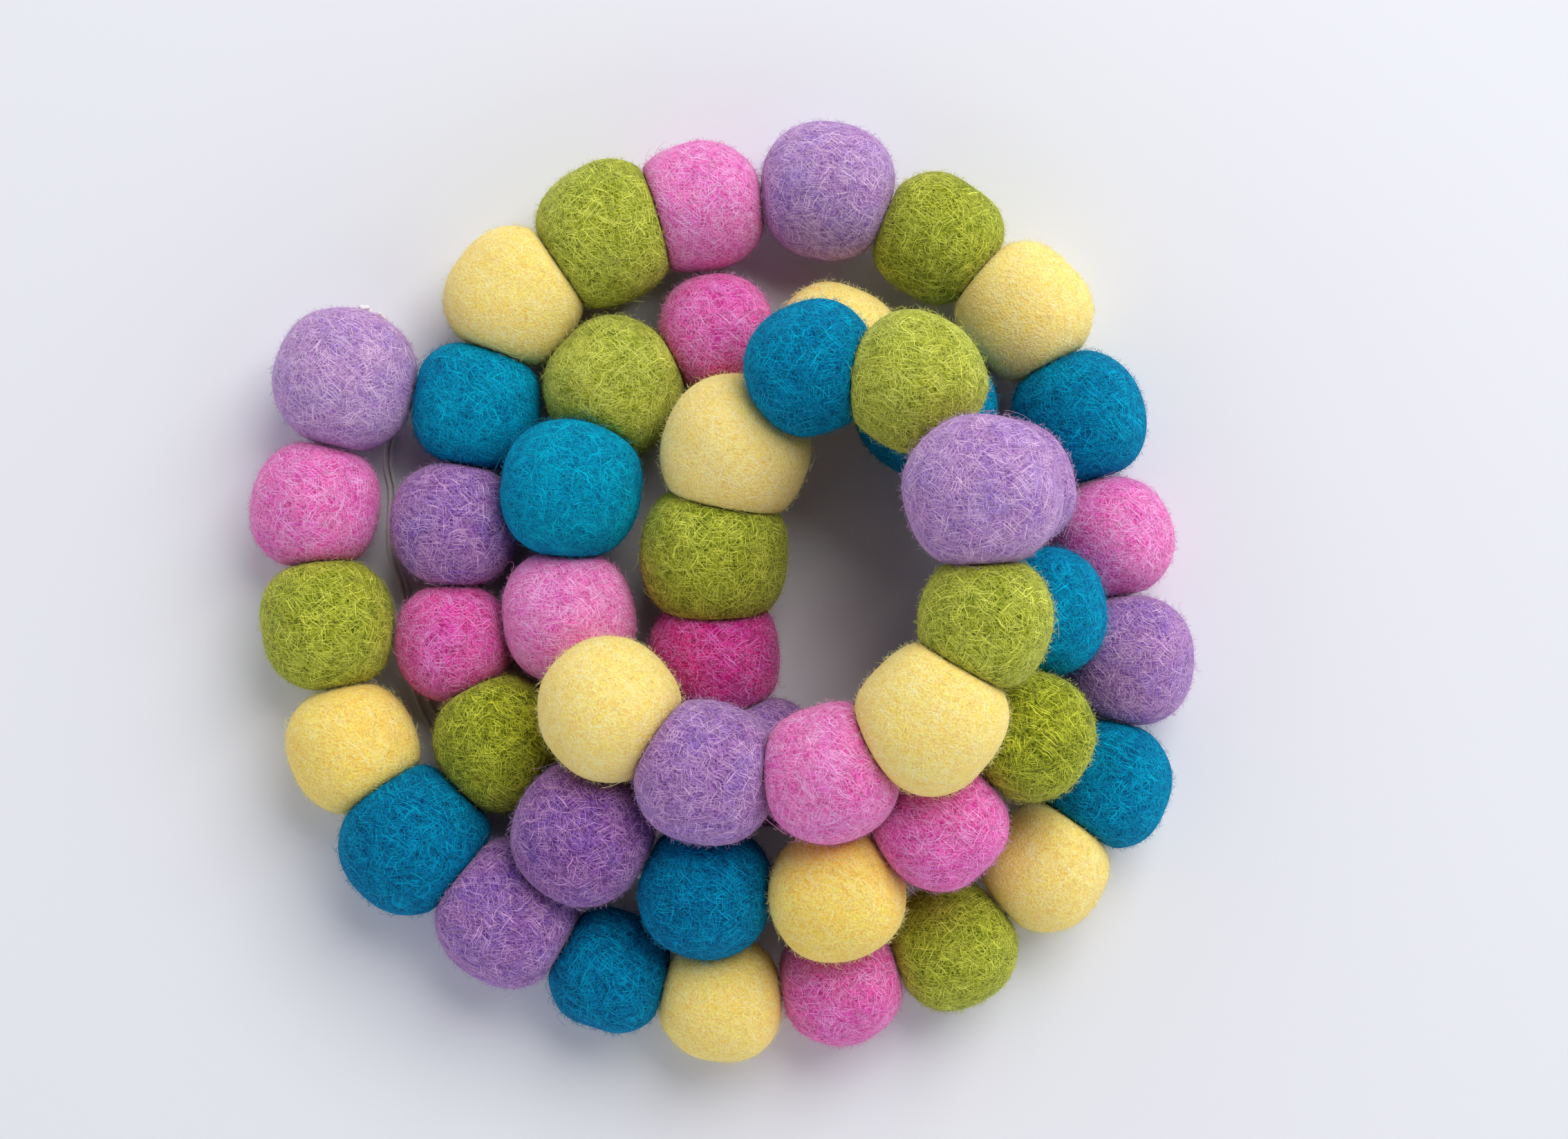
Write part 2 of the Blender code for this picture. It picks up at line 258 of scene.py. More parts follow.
paper, tree, shader = new_finish("pale_floor")
shader.inputs["Base Color"].default_value = linear(FLOOR_COLOUR)
shader.inputs["Roughness"].default_value = 0.9
floor_corners = np.array([(-1, -1, 0), (1, -1, 0), (1, 1, 0), (-1, 1, 0)]) * FLOOR_SIZE / 2
new_piece("floor", floor_corners, [np.array([[0, 1, 2, 3]])], paper)


# Felt balls
# Each is wool, wetted and rolled by hand until it felted into a firm ball, then pierced and
# threaded. They are pressed flat where they touch and where they lie on the surface, and no two
# are quite the same size or quite round.
BARREL_POWER = 2.14
BARREL_PART = 1.6
NEIGHBOUR_REACH = 1.08
RESTING_SHARE = 0.475
BEND_SHARE = 0.25
EDGE_SHARPNESS = 36
MOUTH_RADIUS = 1.0
MOUTH_DEPTH = 0.8
BORE_RADIUS = 0.95
BORE_UP = (0.1, 0.2, 1.0)
OUTER_RINGS = 30
RING_POINTS = 48
LUMP_COUNT = 8
LUMP_HEIGHT = 0.07
LUMP_TURNS = (3.0, 8.0)
OUTER_END = (0.19, 0.95, -0.24)
INNER_END = (0.30, 0.95, 0.0)

# Places and diameters are as in the heap; a ball with no height lies on the surface, pressed a
# little flat. A ball that is out of round swells by its bulge towards a bearing, counted from +X
# towards +Y in degrees, or is flatter there where the bulge is negative. The dye and shade value
# is a power on the colour: over one the colour is deeper, and under one it is paler. It is partly
# the wool's own dye and partly painted shade and light: balls towards -Y, away from the window,
# and balls in the shade of the rings above them or down in the hollow are painted deeper, and
# balls up towards +Y or high in the heap, which face the window, are painted paler.
Ball = namedtuple("Ball", "colour x y diameter height bulge towards dye", defaults=[None, 0.0, 0.0, 1.0])
BALLS = [
    Ball("lavender", -71.1, 38.8, 26.8, dye=0.76),
    Ball("pink", -76.8, 15.0, 23.9, bulge=0.5, towards=225, dye=0.85),
    Ball("green", -74.3, -7.5, 25.3, bulge=-0.5, towards=215),
    Ball("yellow", -69.7, -30.3, 24.2, bulge=-0.5, towards=215, dye=1.2),
    Ball("teal", -57.4, -47.4, 26.2, bulge=0.9, towards=225, dye=1.15),
    Ball("lavender", -40.0, -61.0, 26.3, dye=1.2),
    Ball("teal", -21.0, -71.8, 22.6, dye=1.2),
    Ball("yellow", -0.4, -76.8, 23.4, dye=1.05),
    Ball("pink", 21.9, -73.9, 23.2),
    Ball("green", 42.7, -67.2, 23.4),
    Ball("yellow", 60.4, -52.6, 23.9, bulge=-1.3, towards=0),
    Ball("teal", 71.6, -36.9, 23.9, dye=1.05),
    Ball("lavender", 76.1, -14.0, 24.7, bulge=-0.4, towards=0),
    Ball("pink", 72.8, 9.0, 23.2, dye=0.8),
    Ball("teal", 66.7, 31.5, 24.9, dye=1.05),
    Ball("yellow", 56.6, 51.8, 24.8, bulge=0.4, towards=270, dye=0.95),
    Ball("green", 40.3, 65.8, 24.0),
    Ball("lavender", 19.5, 74.7, 26.0, dye=0.82),
    Ball("pink", -4.5, 71.8, 24.4, dye=0.76),
    Ball("green", -22.9, 66.3, 26.8, bulge=-1.5, towards=175, dye=0.9),
    Ball("yellow", -39.5, 54.7, 26.0, bulge=-0.9, towards=120),
    Ball("teal", -46.8, 33.9, 24.3, dye=0.9),
    Ball("lavender", -50.5, 11.4, 24.0, dye=1.12),
    Ball("pink", -50.8, -10.6, 22.0, dye=1.15),
    Ball("green", -41.3, -29.6, 24.9, dye=1.2),
    Ball("lavender", -25.4, -45.9, 25.9, 21.5, dye=1.4),
    Ball("teal", -3.0, -56.3, 25.0, 20.5, dye=1.2),
    Ball("yellow", 20.8, -56.4, 24.8, 24.8, dye=1.25),
    Ball("pink", 39.2, -43.5, 23.8, 28.5),
    Ball("green", 55.2, -27.8, 23.4, 28.8, dye=1.2),
    Ball("teal", 58.1, -5.5, 23.9, 24.2),
    Ball("lavender", 52.6, 17.2, 24.2, 24.0),
    Ball("teal", 38.1, 33.3, 26.0),
    Ball("yellow", 20.5, 44.9, 24.2),
    Ball("pink", -1.3, 47.8, 22.3),
    Ball("green", -20.7, 37.5, 25.8, dye=0.8),
    Ball("teal", -28.1, 17.4, 26.0, 19.0, dye=0.85),
    Ball("pink", -28.9, -6.0, 25.2, 14.5, dye=0.75),
    Ball("yellow", -20.1, -23.2, 25.4, 29.5, dye=0.95),
    Ball("lavender", -2.5, -34.5, 25.6, 31.5),
    Ball("pink", 19.5, -34.5, 24.4, 36.0, dye=0.8),
    Ball("yellow", 37.0, -24.3, 25.5, 42.0, bulge=0.4, towards=270),
    Ball("green", 46.3, -7.7, 23.2, 44.0, dye=0.92),
    Ball("lavender", 45.5, 14.7, 27.6, 47.0, bulge=-0.7, towards=90, dye=0.85),
    Ball("green", 34.6, 34.8, 24.6, 37.0, dye=0.85),
    Ball("teal", 16.3, 38.0, 23.6, 32.5, dye=1.05),
    Ball("yellow", 2.2, 24.8, 26.7, 21.0, bulge=0.8, towards=315, dye=0.9),
    Ball("green", -1.5, 5.5, 26.8, 16.5, bulge=0.4, towards=180),
    Ball("pink", -1.5, -13.5, 24.4, dye=1.5),
    Ball("lavender", 8.0, -33.0, 23.4),
    Ball("yellow", 31.0, -35.0, 24.1),
    Ball("teal", 48.8, -19.6, 24.1),
]


def unit(vectors):
    """The vectors at length one."""
    return vectors / np.linalg.norm(vectors, axis=-1, keepdims=True)


def meeting_distance(apart, radius, other_radius):
    """How far from one ball's middle the plane lies on which two pressed balls meet."""
    return (apart**2 + radius**2 - other_radius**2) / (2 * apart)


heights = [RESTING_SHARE * b.diameter if b.height is None else b.height for b in BALLS]
middles = np.array([(b.x, b.y, z) for b, z in zip(BALLS, heights)])
radii = np.array([b.diameter / 2 for b in BALLS])

# The string runs from the first mouth to the last by way of a point between each two balls,
# which lies a little outside the bend there.
steps = np.diff(middles, axis=0)
apart = np.linalg.norm(steps, axis=1)
meeting = meeting_distance(apart, radii[:-1], radii[1:])
press_ahead = np.append(1 - np.minimum(meeting / radii[:-1], 1), 0)
press_behind = np.append(0, 1 - np.minimum((apart - meeting) / radii[1:], 1))
first_mouth = middles[0] + unit(np.array(OUTER_END)) * radii[0]
last_mouth = middles[-1] + unit(np.array(INNER_END)) * radii[-1]
between = middles[:-1] + steps * (meeting / apart)[:, None]
touching = np.vstack([first_mouth, between, last_mouth])
outwards = BEND_SHARE * (2 * touching[1:-1] - touching[:-2] - touching[2:])
outwards -= unit(steps) * (outwards * unit(steps)).sum(axis=1, keepdims=True)
string_corners = np.vstack([first_mouth, between + outwards, last_mouth])


class FeltBall:
    """The worked-out form of one ball: its middle, bore, contact planes and lumps."""

    def __init__(self, index):
        self.row = BALLS[index]
        self.middle = middles[index]
        self.radius = radii[index]
        press = np.array([press_behind[index], press_ahead[index]])
        self.powers = BARREL_POWER + BARREL_PART * press
        self.chance = np.random.default_rng(100 + index)
        chord = string_corners[index + 1] - string_corners[index]
        self.along = unit(chord)
        side = unit(np.cross(self.along, BORE_UP))
        self.across = np.array([side, np.cross(self.along, side)])
        start = string_corners[index] - self.middle
        self.bore = start - self.along * (start @ self.along)

        steps = np.delete(middles, index, axis=0) - self.middle
        others = np.delete(radii, index)
        apart = np.linalg.norm(steps, axis=1)
        near = apart < (self.radius + others) * NEIGHBOUR_REACH
        self.normals = steps[near] / apart[near, None]
        self.distances = meeting_distance(apart, self.radius, others)[near]

        waves = unit(self.chance.normal(size=(LUMP_COUNT, 3)))
        self.waves = waves * self.chance.uniform(*LUMP_TURNS, (LUMP_COUNT, 1))
        self.phases = self.chance.uniform(0, 2 * np.pi, LUMP_COUNT)
        bearing = np.radians(self.row.towards)
        self.bulge_way = np.array([np.cos(bearing), np.sin(bearing), 0])

    def reach(self, ways):
        """How far the skin is from the middle in these directions, in millimetres.

        A sphere that turns into a barrel towards each neighbour on the string: the shares of the
        way along the bore and away from it, to a power over two that grows as the neighbour
        presses, add up to one. Lumps are added, as a sum of sine waves over the sphere, and a
        bulge that goes as the squared cosine from its bearing. The skin is then drawn in to its
        contact planes by a soft minimum: the distances, to a high negative power, are summed,
        and the sum taken to the inverse power. So its edges are round, and it stays just short
        of the planes on which it meets its neighbours.
        """
        forth = ways @ self.along
        power = np.where(forth > 0, self.powers[1], self.powers[0])
        aside = np.sqrt(np.maximum(1 - forth**2, 0))
        form = self.radius * (np.abs(forth) ** power + aside**power) ** (-1 / power)
        form = form + LUMP_HEIGHT * np.sin(ways @ self.waves.T + self.phases).sum(axis=-1)
        form = form + self.row.bulge * np.maximum(ways @ self.bulge_way, 0) ** 2
        facing = np.maximum(ways @ self.normals.T, 0) / self.distances
        total = form**-EDGE_SHARPNESS + (facing**EDGE_SHARPNESS).sum(axis=-1)
        return total ** (-1 / EDGE_SHARPNESS)

    def skin(self, ways, above=0.0):
        """Points on the skin in these directions, or that far above it, in millimetres."""
        points = self.middle + ways * (self.reach(ways) + above)[..., None]
        points[..., 2] = np.maximum(points[..., 2], 0)
        return points

    def mesh(self):
        """Rings of points round the bore, over the skin from mouth to mouth and back inside.

        All directions of a ring rise by one slope from the plane that is square to the bore. The
        slopes go in even steps from one mouth's edge to the other's, and towards the mouths the
        rings shift to the bore's own middle by the squared sine of the slope. Two more rings, a
        little way inside the mouths, make the wall of the bore.
        """
        turn = np.linspace(0, 2 * np.pi, RING_POINTS, endpoint=False)[:, None]
        round_bore = np.cos(turn) * self.across[0] + np.sin(turn) * self.across[1]
        edge = np.arccos(MOUTH_RADIUS / self.radius)
        slope = np.linspace(edge, -edge, OUTER_RINGS)[:, None, None]
        ways = np.cos(slope) * round_bore + np.sin(slope) * self.along
        outer = self.skin(unit(ways + self.bore / self.radius * np.sin(slope) ** 2))
        depth = (outer[[-1, 0]] - self.middle) @ self.along
        depth -= np.array([[-MOUTH_DEPTH], [MOUTH_DEPTH]])
        wall = self.middle + self.bore + BORE_RADIUS * round_bore
        inner = wall + depth[:, :, None] * self.along
        points = np.concatenate([outer, inner]).reshape(-1, 3)
        return points * MM, [ring_faces(OUTER_RINGS + 2, RING_POINTS, joined=True)]


# Felted wool: the eye sees a dense mat of fine pale fibres, a few millimetres long, that cross at
# all angles over deeper, darker dye, with small dark pits between them, thinner and thicker
# places, and a soft bloom where loose fibres catch the light at the rim. The dark of the pits is
# painted shade in the hollows between fibres, laid over the deeper dye. A fibre is 0.03 mm and
# is drawn 0.1 to 0.2 mm wide here, so that it shows.
FIBRE_REACH = 3.4 * MM
FIBRE_SPACING = 0.22 * MM
FIBRE_SWAY = 0.6 * MM
SWAY_SIZE = 2.6 * MM
LAYS = 8
COARSE_LAY = 1.5
LEAST_PALE = 0.22
PIT_SIZE = 0.4 * MM
CLUMP_SIZE = 1.6 * MM
CLUMP_PART = 0.35
PATCH_SIZE = 7.0 * MM
BUMP_HEIGHT = 0.25 * MM
BUMP_STRENGTH = 0.8

# Each pair is where a change starts and where it is complete. A fibre ends, across and along, at
# these shares of its cell. A lay fades by the cosine between its axis and the way outwards. A
# pit closes, and a patch of the second tint sets in, by the value of a noise.
FIBRE_EDGE = (0.081, 0.27)
FIBRE_END = (0.25, 0.5)
LAY_FADE = (0.6, 0.85)
PIT_CLOSE = (0.5, 0.82)
PATCH_START = (0.4, 0.65)

# The pit colour is painted shade: the dark of the small hollows between fibres, on deeper dye.
Wool = namedtuple("Wool", "pit body fibre patch loose sheen")
WOOLS = {
    "lavender": Wool("#592d78", "#995eb1", "#ebc4e9", "#825cba", "#cba3d6", "#f0dcf2"),
    "pink": Wool("#a81468", "#f04aae", "#f6b6ec", "#e23fb4", "#f09ad4", "#ffd2e0"),
    "green": Wool("#2b3d00", "#8d950c", "#eff265", "#768909", "#d0d552", "#e4e8a0"),
    "yellow": Wool("#f2c45e", "#fbea76", "#fcf5bc", "#fbe068", "#fbf2a4", "#fff2c8"),
    "teal": Wool("#003c5e", "#0074a6", "#00bce0", "#00669c", "#0092ba", "#0088b4"),
}


def felt(name, wool):
    """The felt of one colour of wool, laid out on Object coordinates.

    Each lay is a Voronoi pattern stretched into flat cells, all square to the lay's own axis, in
    coordinates that a broad noise sways one way or the other. A disc lies round each cell's
    point: a place is in its core by how far it is from that point along the axis, and the disc
    tapers with the distance all round. Where the skin cuts through a disc it shows a thin curved
    fibre with two tapered ends, and the cell's own colour says how pale it is. Every second lay
    is coarser. A lay fades where its axis stands on the skin, because its discs would show as
    blots there. The ball's dye and shade value, partly its own dye and partly painted shade and
    light, is a power on the finished colour.
    """
    material, tree, shader = new_finish(name)
    place = add_node(tree, "ShaderNodeTexCoord", {})
    outward = add_node(tree, "ShaderNodeAttribute", {}, attribute_name="outward")
    bend = add_node(
        tree,
        "ShaderNodeTexNoise",
        {"Vector": place.outputs["Object"], "Scale": 1 / SWAY_SIZE, "Detail": 1.0},
    )
    sway = add_node(
        tree,
        "ShaderNodeVectorMath",
        {0: bend.outputs["Color"], 1: (0.5, 0.5, 0.5)},
        operation="SUBTRACT",
    )
    swayed = [
        add_node(
            tree,
            "ShaderNodeVectorMath",
            {0: sway.outputs[0], 1: (amount, amount, amount), 2: place.outputs["Object"]},
            operation="MULTIPLY_ADD",
        )
        for amount in (2 * FIBRE_SWAY, -2 * FIBRE_SWAY)
    ]
    strands = None
    for lay in range(LAYS):
        rise = (lay + 0.5) / LAYS
        tilt = np.arccos(rise)
        heading = np.pi * (3 - np.sqrt(5)) * lay
        coarse = COARSE_LAY if lay % 2 else 1.0
        laid = add_node(
            tree,
            "ShaderNodeMapping",
            {
                "Vector": swayed[lay % 2].outputs[0],
                "Rotation": (tilt, 0, heading),
                "Scale": (FIBRE_REACH * coarse, FIBRE_REACH * coarse, FIBRE_SPACING * coarse),
            },
            vector_type="TEXTURE",
        )
        cells = add_node(tree, "ShaderNodeTexVoronoi", {"Vector": laid.outputs[0], "Scale": 1.0})
        from_disc = add_node(
            tree,
            "ShaderNodeVectorMath",
            {0: laid.outputs[0], 1: cells.outputs["Position"]},
            operation="SUBTRACT",
        )
        parts = add_node(tree, "ShaderNodeSeparateXYZ", {0: from_disc.outputs[0]})
        beside = add_node(tree, "ShaderNodeMath", {0: parts.outputs["Z"]}, operation="ABSOLUTE")
        core = add_node(
            tree,
            "ShaderNodeMapRange",
            {0: beside.outputs[0], 1: FIBRE_EDGE[0], 2: FIBRE_EDGE[1], 3: 1.0, 4: 0.0},
            interpolation_type="SMOOTHSTEP",
        )
        taper = add_node(
            tree,
            "ShaderNodeMapRange",
            {0: cells.outputs["Distance"], 1: FIBRE_END[0], 2: FIBRE_END[1], 3: 1.0, 4: 0.0},
            interpolation_type="SMOOTHSTEP",
        )
        axis = (np.sin(heading) * np.sin(tilt), -np.cos(heading) * np.sin(tilt), rise)
        square = add_node(
            tree,
            "ShaderNodeVectorMath",
            {0: outward.outputs["Vector"], 1: axis},
            operation="DOT_PRODUCT",
        )
        stand = add_node(tree, "ShaderNodeMath", {0: square.outputs["Value"]}, operation="ABSOLUTE")
        fade = add_node(
            tree,
            "ShaderNodeMapRange",
            {0: stand.outputs[0], 1: LAY_FADE[0], 2: LAY_FADE[1], 3: 1.0, 4: 0.0},
            interpolation_type="SMOOTHSTEP",
        )
        chance = add_node(tree, "ShaderNodeSeparateColor", {0: cells.outputs["Color"]})
        pale = add_node(
            tree,
            "ShaderNodeMath",
            {0: chance.outputs[0], 1: chance.outputs[1], 2: LEAST_PALE},
            operation="MULTIPLY_ADD",
        )
        shown = core
        for share in (taper, pale, fade):
            shown = add_node(
                tree,
                "ShaderNodeMath",
                {0: shown.outputs[0], 1: share.outputs[0]},
                operation="MULTIPLY",
            )
        if strands is None:
            strands = shown
        else:
            strands = add_node(
                tree,
                "ShaderNodeMath",
                {0: strands.outputs[0], 1: shown.outputs[0]},
                operation="MAXIMUM",
            )

    grain = add_node(
        tree,
        "ShaderNodeTexNoise",
        {"Vector": place.outputs["Object"], "Scale": 1 / PIT_SIZE, "Detail": 1.0},
    )
    clumps = add_node(
        tree,
        "ShaderNodeTexNoise",
        {"Vector": place.outputs["Object"], "Scale": 1 / CLUMP_SIZE, "Detail": 1.0},
    )
    uneven = add_node(
        tree,
        "ShaderNodeMath",
        {0: clumps.outputs[0], 1: CLUMP_PART, 2: grain.outputs[0]},
        operation="MULTIPLY_ADD",
    )
    # Painted shade: where the grain and clump noise is low, the colour goes to the pit colour, the dark
    # of the hollows between fibres.
    pit_shade_mask = add_node(
        tree, "ShaderNodeMapRange", {0: uneven.outputs[0], 1: PIT_CLOSE[0], 2: PIT_CLOSE[1]}
    )
    patches = add_node(
        tree,
        "ShaderNodeTexNoise",
        {"Vector": place.outputs["Object"], "Scale": 1 / PATCH_SIZE, "Detail": 2.0},
    )
    patchy = add_node(
        tree, "ShaderNodeMapRange", {0: patches.outputs[0], 1: PATCH_START[0], 2: PATCH_START[1]}
    )
    dyed = add_node(
        tree,
        "ShaderNodeMix",
        {0: patchy.outputs[0], 6: linear(wool.body), 7: linear(wool.patch)},
        data_type="RGBA",
    )
    pit_shaded = add_node(
        tree,
        "ShaderNodeMix",
        {0: pit_shade_mask.outputs[0], 6: linear(wool.pit), 7: dyed.outputs[2]},
        data_type="RGBA",
    )
    covered = add_node(
        tree,
        "ShaderNodeMix",
        {0: strands.outputs[0], 6: pit_shaded.outputs[2], 7: linear(wool.fibre)},
        data_type="RGBA",
    )
    # Painted shade and light, with the wool's own dye: each ball's dye and shade value, a power on the
    # colour, deepens balls that lie in shade and pales those that face the window.
    dye = add_node(tree, "ShaderNodeAttribute", {}, attribute_name="dye")
    dyed_and_shaded = add_node(tree, "ShaderNodeGamma", {0: covered.outputs[2], 1: dye.outputs["Fac"]})
    tree.links.new(dyed_and_shaded.outputs[0], shader.inputs["Base Color"])
    bump = add_node(
        tree,
        "ShaderNodeBump",
        {"Height": grain.outputs[0], "Distance": BUMP_HEIGHT, "Strength": BUMP_STRENGTH},
    )
    tree.links.new(bump.outputs[0], shader.inputs["Normal"])
    shader.inputs["Roughness"].default_value = 0.95
    shader.inputs["Specular IOR Level"].default_value = 0.1
    shader.inputs["Sheen Weight"].default_value = 0.3
    shader.inputs["Sheen Roughness"].default_value = 0.5
    shader.inputs["Sheen Tint"].default_value = linear(wool.sheen)
    return material


felts = {name: felt(f"{name}_felt", wool) for name, wool in WOOLS.items()}
balls = [FeltBall(index) for index in range(len(BALLS))]
for number, ball in enumerate(balls, start=1):
    points, faces = ball.mesh()
    piece = new_piece(f"felt_ball_{number:02d}", points, faces, felts[ball.row.colour])
    outward = piece.data.attributes.new("outward", "FLOAT_VECTOR", "POINT")
    outward.data.foreach_set("vector", unit(points - ball.middle * MM).astype(np.float32).ravel())
    # Each ball's dye and shade value: partly its own dye, partly painted shade and light.
    dye = piece.data.attributes.new("dye", "FLOAT", "POINT")
    dye.data.foreach_set("value", np.full(len(points), ball.row.dye, np.float32))
    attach(piece, "root")
    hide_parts(f"ball_{number:02d}")


# Loose fibres
# Wool that the felting left free: a fuzz of short ends that stand off the skin, fibres that lie
# over it in arcs, and now and then a long curly one. They are drawn thicker than the real
# 0.03 mm. The bends are in radians.
Fibres = namedtuple("Fibres", "count joints length rise bend width arched")
LOOSE = [
    Fibres(1500, 3, length=(0.4, 1.6), rise=(0.3, 1.2), bend=(-1.6, 1.6), width=0.07, arched=False),
    Fibres(50, 7, length=(2.0, 6.0), rise=(0.1, 0.6), bend=(-2.0, 2.0), width=0.045, arched=True),
    Fibres(150, 4, length=(1.2, 3.2), rise=(0.5, 1.5), bend=(-2.0, 2.0), width=0.06, arched=False),
    Fibres(12, 12, length=(4.0, 12.0), rise=(0.6, 2.4), bend=(-5.5, 5.5), width=0.06, arched=False),
]
FIBRE_SIDES = 3
ROOT_DEPTH = 0.05
RISE_POWER = 1.3
LEAST_BEND = 0.05


def fibre_lines(ball, kind):
    """The middle lines of loose fibres on a ball, and which way is off the skin along them.

    A fibre starts at a random direction from the ball's middle. Its line over the skin is an arc
    that turns steadily by its bend, and it is above the skin by its rise times the sine of half
    a turn where it is arched, with both ends in the felt, or else times the share of the way
    along it to a power.
    """
    shape = (kind.count, 1)
    start = unit(ball.chance.normal(size=(kind.count, 3)))[:, None]
    lean = unit(np.cross(start, unit(ball.chance.normal(size=(kind.count, 3)))[:, None]))
    beside = np.cross(start, lean)
    length = ball.chance.uniform(*kind.length, shape)
    rise = ball.chance.uniform(*kind.rise, shape)
    bend = ball.chance.uniform(*kind.bend, shape)
    t = np.linspace(0, 1, kind.joints)
    turned = bend * t
    safe = np.where(np.abs(bend) < LEAST_BEND, LEAST_BEND, bend)
    forward = length * np.sin(turned) / safe
    sideways = length * (1 - np.cos(turned)) / safe
    ways = unit(start + (forward[..., None] * lean + sideways[..., None] * beside) / ball.radius)
    lift = rise * np.sin(np.pi * t) if kind.arched else rise * t**RISE_POWER
    line = ball.skin(ways, lift - ROOT_DEPTH)
    line[..., 2] = np.maximum(line[..., 2], kind.width)
    return line, ways


def fibres_on(ball, kind):
    """Points, quads and triangles of loose fibres, as tubes with three sides and pointed ends."""
    line, ways = fibre_lines(ball, kind)
    heading = unit(np.gradient(line, axis=1))
    up = unit(ways - heading * (ways * heading).sum(axis=-1, keepdims=True))
    side = np.cross(up, heading)
    turn = np.linspace(0, 2 * np.pi, FIBRE_SIDES, endpoint=False)[:, None]
    ring = np.cos(turn) * up[:, 1:-1, None] + np.sin(turn) * side[:, 1:-1, None]
    rings = line[:, 1:-1, None] + kind.width / 2 * ring
    tips = line[:, [0, -1]]
    points = np.concatenate([rings.reshape(kind.count, -1, 3), tips], axis=1)
    each = points.shape[1]
    first = np.arange(kind.count)[:, None, None] * each
    near = np.arange(FIBRE_SIDES)
    far = near + each - 2 - FIBRE_SIDES
    near_cone = np.column_stack([np.full(FIBRE_SIDES, each - 2), near, np.roll(near, -1)])
    far_cone = np.column_stack([np.full(FIBRE_SIDES, each - 1), np.roll(far, -1), far])
    quads = first + ring_faces((each - 2) // FIBRE_SIDES, FIBRE_SIDES)
    cones = first + np.vstack([near_cone, far_cone])
    return points.reshape(-1, 3) * MM, quads.reshape(-1, 4), cones.reshape(-1, 3)


# A loose wool fibre: thin, pale and a little translucent, so that it looks lighter than the felt
# under it.
def loose_wool(name, wool):
    """The finish of loose fibres of one colour."""
    material, tree, shader = new_finish(name)
    shader.inputs["Base Color"].default_value = linear(wool.loose)
    shader.inputs["Roughness"].default_value = 0.7
    shader.inputs["Sheen Weight"].default_value = 0.3
    shader.inputs["Sheen Tint"].default_value = linear(wool.sheen)
    return material


loose = {name: loose_wool(f"{name}_loose_wool", wool) for name, wool in WOOLS.items()}
for number, ball in enumerate(balls, start=1):
    points, quads, caps, before = [], [], [], 0
    for kind in LOOSE:
        more_points, more_quads, more_caps = fibres_on(ball, kind)
        points.append(more_points)
        quads.append(more_quads + before)
        caps.append(more_caps + before)
        before += len(more_points)
    faces = [np.concatenate(quads), np.concatenate(caps)]
    piece = new_piece(f"loose_wool_{number:02d}", np.concatenate(points), faces, loose[ball.row.colour])
    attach(piece, "root")


# String and knots
# The cotton string inside the bores is two cords side by side, twisted once round each other as
# the balls were rolled on, and at each end it is tied in a tight overhand knot.
STRING_DIAMETER = 1.6 * MM
STRING_STEP = 1.0 * MM
KNOT_STAND_OFF = 0.3
KNOT_LENGTH = 1.5
KNOT_UNIT = 0.36
KNOT_POINTS = 72

string_line = smooth_path(string_corners * MM, STRING_STEP)
string = new_piece("threaded_string", *twisted_cord(string_line, STRING_DIAMETER, 2), cotton)
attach(string, "root")
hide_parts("string")


def overhand_knot(mouth, before):
    """The closed line of a tight overhand knot that sits on a mouth, square on the bore.

    A trefoil: a circle of one unit, run once, plus a circle of two units, run twice the other
    way, so that the line comes in three times. Its height is minus the sine of three times the
    angle, so that it passes over and under itself by turns.
    """
    along = unit(mouth - before)
    side = unit(np.cross(along, BORE_UP))
    across = np.cross(along, side)
    t = np.linspace(0, 2 * np.pi, KNOT_POINTS, endpoint=False)[:, None]
    flat_x = np.sin(t) + 2 * np.sin(2 * t)
    flat_y = np.cos(t) - 2 * np.cos(2 * t)
    height = -np.sin(3 * t) * (KNOT_LENGTH - CORD_DIAMETER / MM) / 2
    line = KNOT_UNIT * (flat_x * side + flat_y * across) + height * along
    return (mouth + along * (KNOT_STAND_OFF + KNOT_LENGTH / 2) + line) * MM


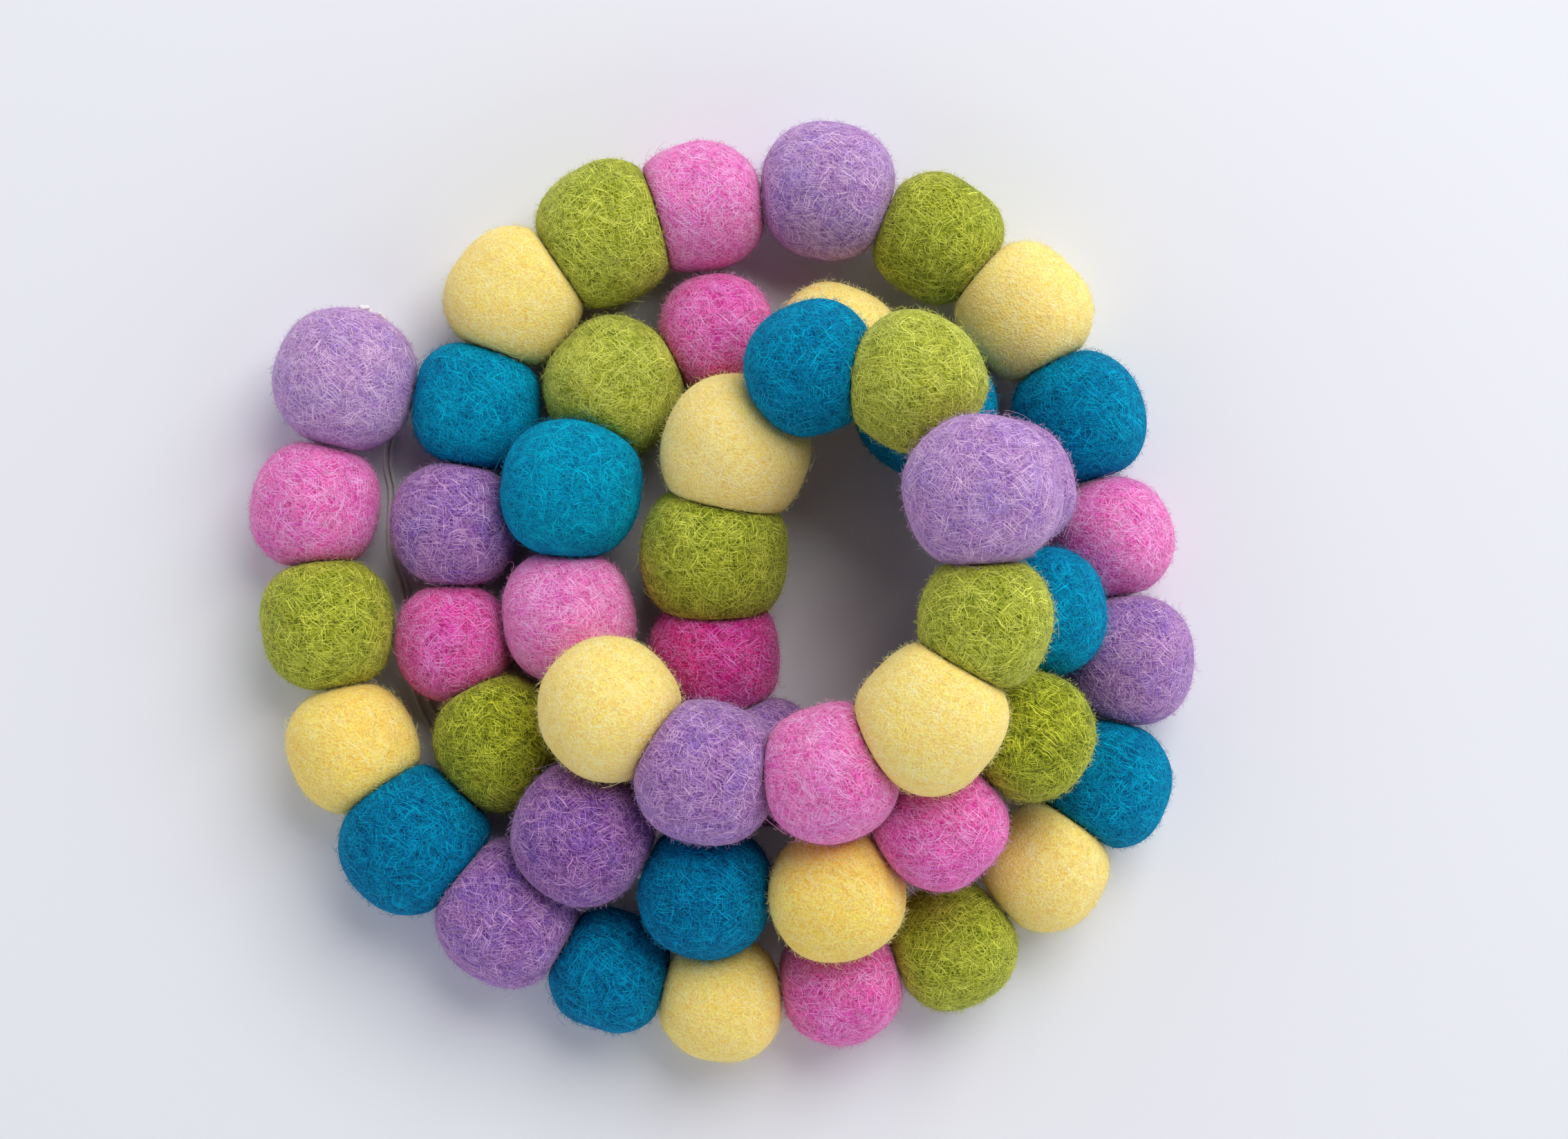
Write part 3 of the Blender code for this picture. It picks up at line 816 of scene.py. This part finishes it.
for name, mouth, before in (
    ("outer", string_corners[0], string_corners[1]),
    ("inner", string_corners[-1], string_corners[-2]),
):
    tied = overhand_knot(mouth, before)
    knot = new_piece(f"tied_knot_{name}", *twisted_cord(tied, CORD_DIAMETER, 3, joined=True), cotton)
    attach(knot, "root")
    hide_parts(f"knot_{name}")


# Light
# Soft daylight from a window about two metres from the heap, up and to the right in the picture,
# and a pale room all round, which is dark overhead, where the picture is taken from.
WINDOW_PLACE = (0.75, 1.03, 1.39)
WINDOW_SIZE = 1.38
WINDOW_POWER = 30.0
WINDOW_COLOUR = "#fffcf6"
ROOM_COLOUR = "#eff1f9"
ROOM_STRENGTH = 1.12
CEILING_STRENGTH = 0.06
CEILING_START = (0.45, 0.84)
NEAR_AND_FAR = (1.25, 0.85)

lamp = bpy.data.lights.new("window", "AREA")
lamp.size = WINDOW_SIZE
lamp.energy = WINDOW_POWER
lamp.color = linear(WINDOW_COLOUR)[:3]
window = bpy.data.objects.new("window", lamp)
window.location = WINDOW_PLACE
right, beyond, high = WINDOW_PLACE
window.rotation_euler = (np.arctan2(np.hypot(right, beyond), high), 0, np.arctan2(right, -beyond))
bpy.context.scene.collection.objects.link(window)

room = bpy.data.worlds.new("pale_room")
room.use_nodes = True
bpy.context.scene.world = room
air = room.node_tree.nodes["Background"]
way = add_node(room.node_tree, "ShaderNodeTexCoord", {})
parts = add_node(room.node_tree, "ShaderNodeSeparateXYZ", {0: way.outputs["Generated"]})
overhead = add_node(
    room.node_tree,
    "ShaderNodeMapRange",
    {
        0: parts.outputs["Z"],
        1: CEILING_START[0],
        2: CEILING_START[1],
        3: ROOM_STRENGTH,
        4: CEILING_STRENGTH,
    },
    interpolation_type="SMOOTHSTEP",
)
across = add_node(
    room.node_tree,
    "ShaderNodeMapRange",
    {0: parts.outputs["Y"], 1: -1.0, 2: 1.0, 3: NEAR_AND_FAR[0], 4: NEAR_AND_FAR[1]},
)
glow = add_node(
    room.node_tree,
    "ShaderNodeMath",
    {0: overhead.outputs[0], 1: across.outputs[0]},
    operation="MULTIPLY",
)
room.node_tree.links.new(glow.outputs[0], air.inputs["Strength"])
air.inputs["Color"].default_value = linear(ROOM_COLOUR)
bpy.context.scene.view_settings.view_transform = "Standard"
